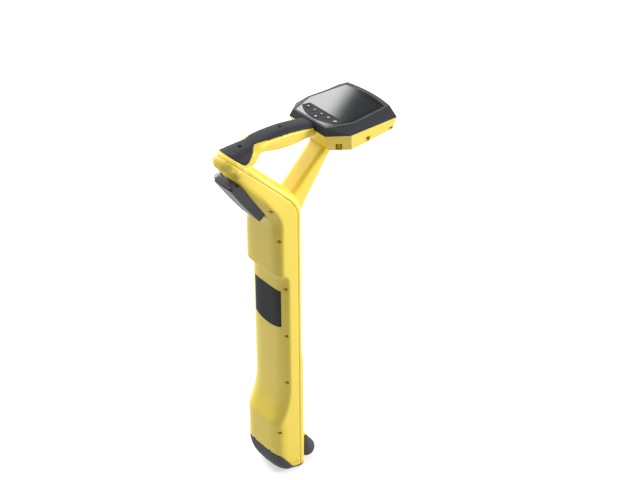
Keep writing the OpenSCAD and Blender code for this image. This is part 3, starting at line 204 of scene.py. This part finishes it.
def moulded_plastic(name, colour, shade, roughness, grain, depth, ior=1.53):
    material, tree = empty_material(name)
    place = add(tree, "ShaderNodeTexCoord").outputs["Object"]
    flow = add(tree, "ShaderNodeTexNoise", {"Vector": place}, Scale=1 / flow_size, Detail=3)
    tone = add(tree, "ShaderNodeMix", {"Factor": flow.outputs["Fac"]}, data_type="RGBA")
    tone.inputs["A"].default_value = linear(colour)
    tone.inputs["B"].default_value = linear(shade)
    spark = add(tree, "ShaderNodeTexNoise", {"Vector": place}, Scale=1 / grain, Detail=2)
    gloss = add(tree, "ShaderNodeMapRange", {"Value": spark.outputs["Fac"]},
                To_Min=roughness + gloss_spread[0], To_Max=roughness + gloss_spread[1])
    relief = add(tree, "ShaderNodeBump", {"Height": spark.outputs["Fac"]}, Strength=relief_strength,
                 Distance=depth)
    skin = add(tree, "ShaderNodeBsdfPrincipled", {"Base Color": tone.outputs["Result"],
               "Roughness": gloss.outputs[0], "Normal": relief.outputs[0]}, IOR=ior)
    add(tree, "ShaderNodeOutputMaterial", {"Surface": skin.outputs[0]})
    return material


# Spark-textured ABS: a warm, even yellow with a broad soft sheen and no sharp reflection.
yellow_abs = moulded_plastic("spark_textured_yellow_ABS", "#F3DA50", "#EFD448", roughness=0.42,
                             grain=0.0012, depth=0.00008)
shell_voxel = 0.00145
shell_passes = 4
rear_skin = moulded_skin(copy_of("rear_shell"), "rear_shell", yellow_abs, shell_voxel, shell_passes)

# The screws of the wand lie along Y in round sinks, which are drilled again with a crisp edge.
sink_r = 0.0031
sink_back_y = -0.07
wand_screws = [(0.0417, -0.0096, z) for z in (0.103, 0.2072, 0.308, 0.4059, 0.5067)]
neck_screw = (0.0394, -0.0182, 0.5692)
drill_sides = 24


def cut_away(piece, bits):
    for bit in bits:
        bit.select_set(True)
    bpy.ops.object.join()
    cutter = bpy.context.object
    shape(piece, "BOOLEAN", operation="DIFFERENCE", object=cutter, solver="EXACT")
    bpy.data.objects.remove(cutter)


def drill(piece, places, radius, depth_y=None, depth_z=None):
    bits = []
    for x, y, z in places:
        bpy.ops.object.select_all(action="DESELECT")
        if depth_y is not None:
            bpy.ops.mesh.primitive_cylinder_add(
                vertices=drill_sides, radius=radius, depth=y - depth_y,
                location=(x, (y + depth_y) / 2, z), rotation=(math.pi / 2, 0, 0))
        else:
            bpy.ops.mesh.primitive_cylinder_add(
                vertices=drill_sides, radius=radius, depth=depth_z - z,
                location=(x, y, (z + depth_z) / 2))
        bits.append(bpy.context.object)
    cut_away(piece, bits)


sinks = [(side * x, y, z) for x, y, z in [*wand_screws, neck_screw] for side in (-1, 1)]
drill(rear_skin, sinks, sink_r, depth_y=sink_back_y)

# Narrow slits low on the flanks, and the slots at the heel that the boot's clips snap into.
slit_place, slit_size = (0.0475, -0.00933, 0.021), (0.0028, 0.016, 0.0018)
slot_place, slot_size = (0.0217, -0.046, 0.0523), (0.005, 0.0056, 0.0028)


def cut_slots(piece, place, size):
    bits = []
    for side in (-1, 1):
        bpy.ops.object.select_all(action="DESELECT")
        bpy.ops.mesh.primitive_cube_add(size=1, location=(side * place[0], place[1], place[2]), scale=size)
        bits.append(bpy.context.object)
    cut_away(piece, bits)


cut_slots(rear_skin, slit_place, slit_size)
cut_slots(rear_skin, slot_place, slot_size)

# The front shell's edge on the parting line is set back into the rear shell,
# so that no light shows between them.
seam_y = 0.004
bend_z = 0.563
bend_r = 0.020
seam_gap = 0.0003
seam_reach = 0.0002
seam_tuck = 0.0006


def parting(z):
    turn = min(max(z - bend_z + bend_r, 0), 2 * bend_r) ** 2 / (4 * bend_r) + max(z - bend_z - bend_r, 0)
    return seam_y - turn


front_copy = copy_of("front_shell")
bpy.ops.object.mode_set(mode="EDIT")
bpy.ops.mesh.select_mode(type="VERT")
bpy.ops.mesh.select_all(action="DESELECT")
bpy.ops.object.mode_set(mode="OBJECT")
for corner in front_copy.data.vertices:
    corner.select = abs(corner.co.y - parting(corner.co.z) - seam_gap) < seam_reach
bpy.ops.object.mode_set(mode="EDIT")
bpy.ops.transform.translate(value=(0, -seam_tuck, 0))
bpy.ops.object.mode_set(mode="OBJECT")
moulded_skin(front_copy, "front_shell", yellow_abs, shell_voxel, shell_passes)


# Handle grip. A soft overmould of charcoal rubber caps the top of the handle.
# Two screws go down through it into the handle, in round sinks that are drilled again here.
# Matt thermoplastic rubber: nearly black, and its fine grain spreads what little light it returns.
charcoal_tpe = moulded_plastic("matt_charcoal_grip_rubber", "#2D2E32", "#292A2E", roughness=0.66,
                               grain=0.0010, depth=0.00012, ior=1.30)
grip_voxel = 0.0009
grip_passes = 4
grip_sinks = [(0, -0.0726, 0.6782), (0, 0.0075, 0.6844)]
grip_sink_r = 0.0034
over_grip_z = 0.70
grip_skin = moulded_skin(copy_of("handle_grip"), "handle_grip", charcoal_tpe, grip_voxel, grip_passes)
drill(grip_skin, grip_sinks, grip_sink_r, depth_z=over_grip_z)


# Foot. A thick moulded rubber boot is clipped over the heel and the sole,
# and a rubber roll bolted in front of the toe takes the knocks.
# Matt moulded rubber: dark grey and dull, a little paler than the grip.
boot_rubber = moulded_plastic("matt_moulded_boot_rubber", "#444548", "#3D3E41", roughness=0.70,
                              grain=0.0014, depth=0.00012, ior=1.45)
foot_voxel = 0.0012
foot_passes = 3
for node in ("foot_boot", "front_bumper"):
    moulded_skin(copy_of(node), node, boot_rubber, foot_voxel, foot_passes)


# Display head. A yellow base and a dark chamfered bezel are moulded with flat facets and small eased
# edges, and six screws in square pockets draw them together on a rubber gasket.
flat_limit = math.radians(1)
edge_limit = math.radians(28)
smooth_limit = math.radians(32)


def eased_copy(node, material, width, segments=3):
    piece = copy_of(node)
    bpy.ops.object.mode_set(mode="EDIT")
    bpy.ops.mesh.select_all(action="SELECT")
    bpy.ops.mesh.dissolve_limited(angle_limit=flat_limit)
    bpy.ops.object.mode_set(mode="OBJECT")
    shape(piece, "BEVEL", width=width, segments=segments, limit_method="ANGLE",
          angle_limit=edge_limit, use_clamp_overlap=True, harden_normals=False)
    pick(piece)
    bpy.ops.object.shade_smooth_by_angle(angle=smooth_limit)
    shape(piece, "WEIGHTED_NORMAL", weight=100, keep_sharp=True)
    return stand_for(piece, node, material)


# Satin charcoal ABS: dark facets with a faint sheen that tells them apart.
charcoal_abs = moulded_plastic("satin_charcoal_ABS", "#2A2B2E", "#26272A", roughness=0.45, grain=0.0011,
                               depth=0.00008, ior=1.34)
eased_copy("display_base", yellow_abs, width=0.0005)
eased_copy("display_bezel", charcoal_abs, width=0.0009)


# Display glass. A plate of toughened glass is bonded into the bezel. It is printed black behind,
# with a clear window over the liquid-crystal display.
def glass_over_print(name, ink, window, low, high):
    material, tree = empty_material(name)
    place = add(tree, "ShaderNodeTexCoord").outputs["Object"]
    axes = add(tree, "ShaderNodeSeparateXYZ", {0: place})
    clear = None
    for axis in range(2):
        off = add(tree, "ShaderNodeMath", {0: axes.outputs[axis]}, operation="SUBTRACT")
        off.inputs[1].default_value = (low[axis] + high[axis]) / 2
        away = add(tree, "ShaderNodeMath", {0: off.outputs[0]}, operation="ABSOLUTE")
        inside = add(tree, "ShaderNodeMath", {0: away.outputs[0]}, operation="LESS_THAN")
        inside.inputs[1].default_value = (high[axis] - low[axis]) / 2
        clear = inside if clear is None else add(
            tree, "ShaderNodeMath", {0: clear.outputs[0], 1: inside.outputs[0]}, operation="MULTIPLY")
    tone = add(tree, "ShaderNodeMix", {"Factor": clear.outputs[0]}, data_type="RGBA")
    tone.inputs["A"].default_value = linear(ink)
    tone.inputs["B"].default_value = linear(window)
    smear = add(tree, "ShaderNodeTexNoise", {"Vector": place}, Scale=1 / smear_size, Detail=4)
    gloss = add(tree, "ShaderNodeMapRange", {"Value": smear.outputs["Fac"]}, To_Min=smear_gloss[0],
                To_Max=smear_gloss[1])
    skin = add(tree, "ShaderNodeBsdfPrincipled", {"Base Color": tone.outputs["Result"],
               "Roughness": gloss.outputs[0]}, IOR=1.52)
    add(tree, "ShaderNodeOutputMaterial", {"Surface": skin.outputs[0]})
    return material


# Polished glass over black print: a dark mirror, with wiped smears 30 mm across that just soften it.
smear_size = 0.03
smear_gloss = (0.07, 0.11)
lcd_low, lcd_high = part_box("lcd_module")
black_glass = glass_over_print("polished_black_printed_glass", "#2B2C2E", "#303233", lcd_low, lcd_high)
eased_copy("display_glass", black_glass, width=0.0003, segments=2)

# A graduated card hangs where the glass mirrors it to the viewpoint: bright on one side, black on
# the other, so that the glass shows the slanting fade of a real window light.
card_away = 0.9
card_size = 0.42
card_glow = 6.6
card_slant = Vector((0.84, 0.543, 0))
card_bright = -0.020
card_dark = 0.018
glass_low, glass_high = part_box("display_glass")
glass_middle = (glass_low + glass_high) / 2
sight = (glass_middle - camera.location).normalized()
bounce = Vector((sight.x, sight.y, -sight.z))
bpy.ops.object.select_all(action="DESELECT")
bpy.ops.mesh.primitive_plane_add(size=card_size, location=glass_middle + bounce * card_away,
                                 rotation=(-bounce).to_track_quat("Z", "Y").to_euler())
card = bpy.context.object
card.name = "graduated_card"
card.visible_camera = False
card.visible_diffuse = False
card.visible_shadow = False
card.visible_transmission = False
glow, tree = empty_material("graduated_light_card")
across = add(tree, "ShaderNodeVectorMath", {0: add(tree, "ShaderNodeTexCoord").outputs["Object"]},
             operation="DOT_PRODUCT")
across.inputs[1].default_value = card_slant
fade = add(tree, "ShaderNodeMapRange", {"Value": across.outputs["Value"]},
           interpolation_type="SMOOTHSTEP", From_Min=card_bright, From_Max=card_dark, To_Min=card_glow,
           To_Max=0)
light = add(tree, "ShaderNodeEmission", {"Strength": fade.outputs[0]}, Color=white)
add(tree, "ShaderNodeOutputMaterial", {"Surface": light.outputs[0]})
card.data.materials.append(glow)


# Keypad. A charcoal panel is let into the glass, and six round silicone keys stand in its holes.
# Each key carries one plain pale mark, pad-printed on its top.
# Matt film and matt silicone: flat dark greys that stay dark where the glass beside them shines.
keypad_film = moulded_plastic("matt_charcoal_keypad_film", "#2A2B2E", "#26272A", roughness=0.60,
                              grain=0.0010, depth=0.00005, ior=1.28)
key_rubber = moulded_plastic("matt_silicone_key", "#2E2F32", "#2A2B2E", roughness=0.62, grain=0.0008,
                             depth=0.00006, ior=1.30)
# Pad-printing ink: flat and opaque, nearly white on four keys and greyer on two.
mark_ink = moulded_plastic("white_pad_print", "#E4E5E6", "#DADBDC", roughness=0.55, grain=0.0005,
                           depth=0.00002)
dim_ink = moulded_plastic("grey_pad_print", "#A9AAAC", "#A0A1A3", roughness=0.55, grain=0.0005,
                          depth=0.00002)
mark_height = 0.00015
eased_copy("keypad_panel", keypad_film, width=0.0003, segments=2)
for node in ("power_key", "back_key", "up_key", "menu_key", "sound_key", "select_key"):
    eased_copy(node, key_rubber, width=0.0005)


def key_top(node):
    low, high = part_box(node)
    return (low.x + high.x) / 2, (low.y + high.y) / 2, high.z


def edit_all(piece):
    pick(piece)
    bpy.ops.object.mode_set(mode="EDIT")
    bpy.ops.mesh.select_all(action="SELECT")


def lay_flat(name, node, vertices, radius, turn=0.0):
    bpy.ops.object.select_all(action="DESELECT")
    bpy.ops.mesh.primitive_circle_add(vertices=vertices, radius=radius, fill_type="NGON",
                                      rotation=(0, 0, turn), location=key_top(node))
    mark = bpy.context.object
    mark.name = name
    bpy.ops.object.transform_apply(location=True, rotation=True, scale=True)
    return mark


def stretch_mark(mark, node, across, along, turn):
    edit_all(mark)
    bpy.ops.transform.resize(value=(across, along, 1), center_override=key_top(node))
    bpy.ops.transform.rotate(value=turn, orient_axis="Z", center_override=key_top(node))
    bpy.ops.object.mode_set(mode="OBJECT")


def open_ring(mark, width):
    edit_all(mark)
    bpy.ops.mesh.inset(thickness=width)
    bpy.ops.mesh.delete(type="FACE")
    bpy.ops.object.mode_set(mode="OBJECT")


def raise_mark(mark, node, ink=mark_ink):
    edit_all(mark)
    bpy.ops.mesh.extrude_region_move(TRANSFORM_OT_translate={"value": (0, 0, mark_height)})
    bpy.ops.mesh.select_all(action="SELECT")
    bpy.ops.mesh.normals_make_consistent(inside=False)
    bpy.ops.object.mode_set(mode="OBJECT")
    mark.data.materials.append(ink)
    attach(mark, housing_of[node])


power_mark = lay_flat("power_mark", "power_key", vertices=24, radius=0.0013)
raise_mark(power_mark, "power_key")
back_mark = lay_flat("back_mark", "back_key", vertices=32, radius=0.0026)
open_ring(back_mark, width=0.0007)
raise_mark(back_mark, "back_key", dim_ink)
up_mark = lay_flat("up_mark", "up_key", vertices=3, radius=0.0019)
raise_mark(up_mark, "up_key")
menu_mark = lay_flat("menu_mark", "menu_key", vertices=4, radius=0.0030)
stretch_mark(menu_mark, "menu_key", across=1, along=0.8, turn=0)
raise_mark(menu_mark, "menu_key", dim_ink)
sound_mark = lay_flat("sound_mark", "sound_key", vertices=4, radius=0.0022, turn=math.radians(45))
stretch_mark(sound_mark, "sound_key", across=1.77, along=0.77, turn=math.radians(-20))
raise_mark(sound_mark, "sound_key")
select_mark = lay_flat("select_mark", "select_key", vertices=24, radius=0.0017)
raise_mark(select_mark, "select_key")


# Battery door and its latch. Both are moulded in charcoal ABS: the door turns on a pin at its lower end,
# and the latch at its top end turns on a pin of its own and hooks under the seat.
# Satin ABS of a lighter mix than the bezel's, whose sheen shows the slope of the door.
door_abs = moulded_plastic("satin_charcoal_door_ABS", "#35363A", "#303135", roughness=0.45, grain=0.0011,
                           depth=0.00008, ior=1.45)
eased_copy("battery_door", door_abs, width=0.0012)
eased_copy("door_latch", door_abs, width=0.0008)


# Rating label. A thin polyester film is stuck on the hollow of the waist and follows its bow.
# It is left bare: the print that the real one carries is not shown.
# Satin film: almost black, with a smooth, weak sheen.
label_film = moulded_plastic("satin_dark_label_film", "#1B1E21", "#181B1D", roughness=0.50, grain=0.0020,
                             depth=0.00002, ior=1.22)
eased_copy("rating_label", label_film, width=0.0002, segments=1)


# Fasteners and pins. Blackened zinc-plated steel screws with hexagon sockets sit in their bores,
# and plain ground pins run in the hinges of the door and the latch.
turning_size = 0.0008
turning_spread = (-0.08, 0.12)


def plated_steel(name, colour, roughness):
    material, tree = empty_material(name)
    place = add(tree, "ShaderNodeTexCoord").outputs["Object"]
    turned = add(tree, "ShaderNodeTexNoise", {"Vector": place}, Scale=1 / turning_size, Detail=3)
    gloss = add(tree, "ShaderNodeMapRange", {"Value": turned.outputs["Fac"]},
                To_Min=roughness + turning_spread[0], To_Max=roughness + turning_spread[1])
    skin = add(tree, "ShaderNodeBsdfPrincipled", {"Roughness": gloss.outputs[0]},
               Base_Color=linear(colour), Metallic=1)
    add(tree, "ShaderNodeOutputMaterial", {"Surface": skin.outputs[0]})
    return material


def dress(material, *nodes):
    for node in nodes:
        mesh = frame["nodes"][node].data
        mesh.materials.clear()
        mesh.materials.append(material)


# Blackened plate: a dull dark metal that reads as a black dot. Ground steel: a bright, plain grey.
dark_zinc = plated_steel("blackened_zinc_plate", "#1A1A1B", roughness=0.55)
bright_steel = plated_steel("ground_steel_pin", "#B8B8B6", roughness=0.30)
dress(dark_zinc, "grip_screws", "shell_screws", "display_screws")
dress(bright_steel, "bumper_bolts", "door_hinge_pin", "latch_pin", "latch_spring")


# Seals and cable. A moulded gasket lies between bezel and base and another under the door,
# and the inner cable runs up the strut in a jacket of the same kind.
# Soft rubber: black, and quite without shine.
soft_black = moulded_plastic("soft_black_seal_rubber", "#1B1B1C", "#161617", roughness=0.75, grain=0.0008,
                             depth=0.00005)
dress(soft_black, "display_gasket", "door_seal", "main_harness")


# Inner plastics. The battery tray is fixed in the neck, the round accessory socket under the head,
# and the loudspeaker inside it. All three are plain black mouldings.
# Matt ABS: black with a weak broad sheen, unlike the rubber.
black_abs = moulded_plastic("matt_black_ABS", "#222325", "#1D1E20", roughness=0.55, grain=0.0010,
                            depth=0.00006)
dress(black_abs, "battery_tray", "accessory_socket", "loudspeaker")


# Boards. Glass-fibre laminate under green solder mask carries the circuits of the head and the antennas.
# The copper tracks show through the mask as paler lines; they are drawn coarse enough to be seen.
board_pitch = 0.004
track_share = 0.06


def printed_board(name, mask, track):
    material, tree = empty_material(name)
    place = add(tree, "ShaderNodeTexCoord").outputs["Object"]
    lines = add(tree, "ShaderNodeTexBrick", {"Vector": place}, Scale=1 / board_pitch,
                Mortar_Size=track_share)
    lines.inputs["Color1"].default_value = linear(mask)
    lines.inputs["Color2"].default_value = linear(mask)
    lines.inputs["Mortar"].default_value = linear(track)
    relief = add(tree, "ShaderNodeBump", {"Height": lines.outputs["Fac"]}, Strength=0.3, Distance=0.00005)
    skin = add(tree, "ShaderNodeBsdfPrincipled", {"Base Color": lines.outputs["Color"],
               "Normal": relief.outputs[0]}, Roughness=0.35, IOR=1.5)
    add(tree, "ShaderNodeOutputMaterial", {"Surface": skin.outputs[0]})
    return material


# Solder mask: a glossy deep green.
solder_mask = printed_board("green_solder_mask", "#1E5A33", "#3A8250")
dress(solder_mask, "main_board", "keypad_board", "antenna_mast")


# Display module and battery pack. The display sits in its metal frame under the glass,
# and the cells in their shrink wrap lie in the tray behind the door.
# Display module: plain grey with a smooth gloss. Shrink wrap: deep blue and shiny.
lcd_grey = moulded_plastic("grey_display_module", "#7C8583", "#737C7A", roughness=0.25, grain=0.0015,
                           depth=0.00002)
shrink_wrap = moulded_plastic("blue_shrink_wrap", "#27406E", "#223862", roughness=0.30, grain=0.0030,
                              depth=0.00010)
dress(lcd_grey, "lcd_module")
dress(shrink_wrap, "battery_pack")


# Contacts and antennas. Brass spring strips touch the pack; three sintered ferrite rods inside the wand
# carry coils of enamelled copper wire, 0.8 mm from turn to turn.
# Brass: a warm bright metal. Ferrite: a dull dark grey like cast iron.
brass = plated_steel("rolled_brass_strip", "#C9A45C", roughness=0.30)
ferrite = moulded_plastic("sintered_ferrite", "#3B3A3B", "#333233", roughness=0.70, grain=0.0006,
                          depth=0.00008)
dress(brass, "battery_contacts")
dress(ferrite, "lower_ferrite", "upper_ferrite", "upright_ferrite")
wire_pitch = 0.0008
wave_radians = 20


# Enamelled copper: painted shade in the gaps between turns and a painted highlight on each rounded turn.
# At a scale of 1 the wave runs through 20 radians a metre.
def winding(name, along):
    material, tree = empty_material(name)
    place = add(tree, "ShaderNodeTexCoord").outputs["Object"]
    turns = add(tree, "ShaderNodeTexWave", {"Vector": place}, bands_direction=along,
                Scale=2 * math.pi / (wave_radians * wire_pitch))
    # Painted shade in the gaps between turns and a painted highlight along each turn.
    tone = add(tree, "ShaderNodeMix", {"Factor": turns.outputs["Fac"]}, data_type="RGBA")
    tone.inputs["A"].default_value = linear("#5A2A12")
    tone.inputs["B"].default_value = linear("#B8682F")
    relief = add(tree, "ShaderNodeBump", {"Height": turns.outputs["Fac"]}, Strength=0.6, Distance=0.0002)
    skin = add(tree, "ShaderNodeBsdfPrincipled", {"Base Color": tone.outputs["Result"],
               "Normal": relief.outputs[0]}, Roughness=0.30, Metallic=0.6)
    add(tree, "ShaderNodeOutputMaterial", {"Surface": skin.outputs[0]})
    return material


dress(winding("copper_winding_across", "X"), "lower_coil", "upper_coil")
dress(winding("copper_winding_upright", "Z"), "upright_coil")
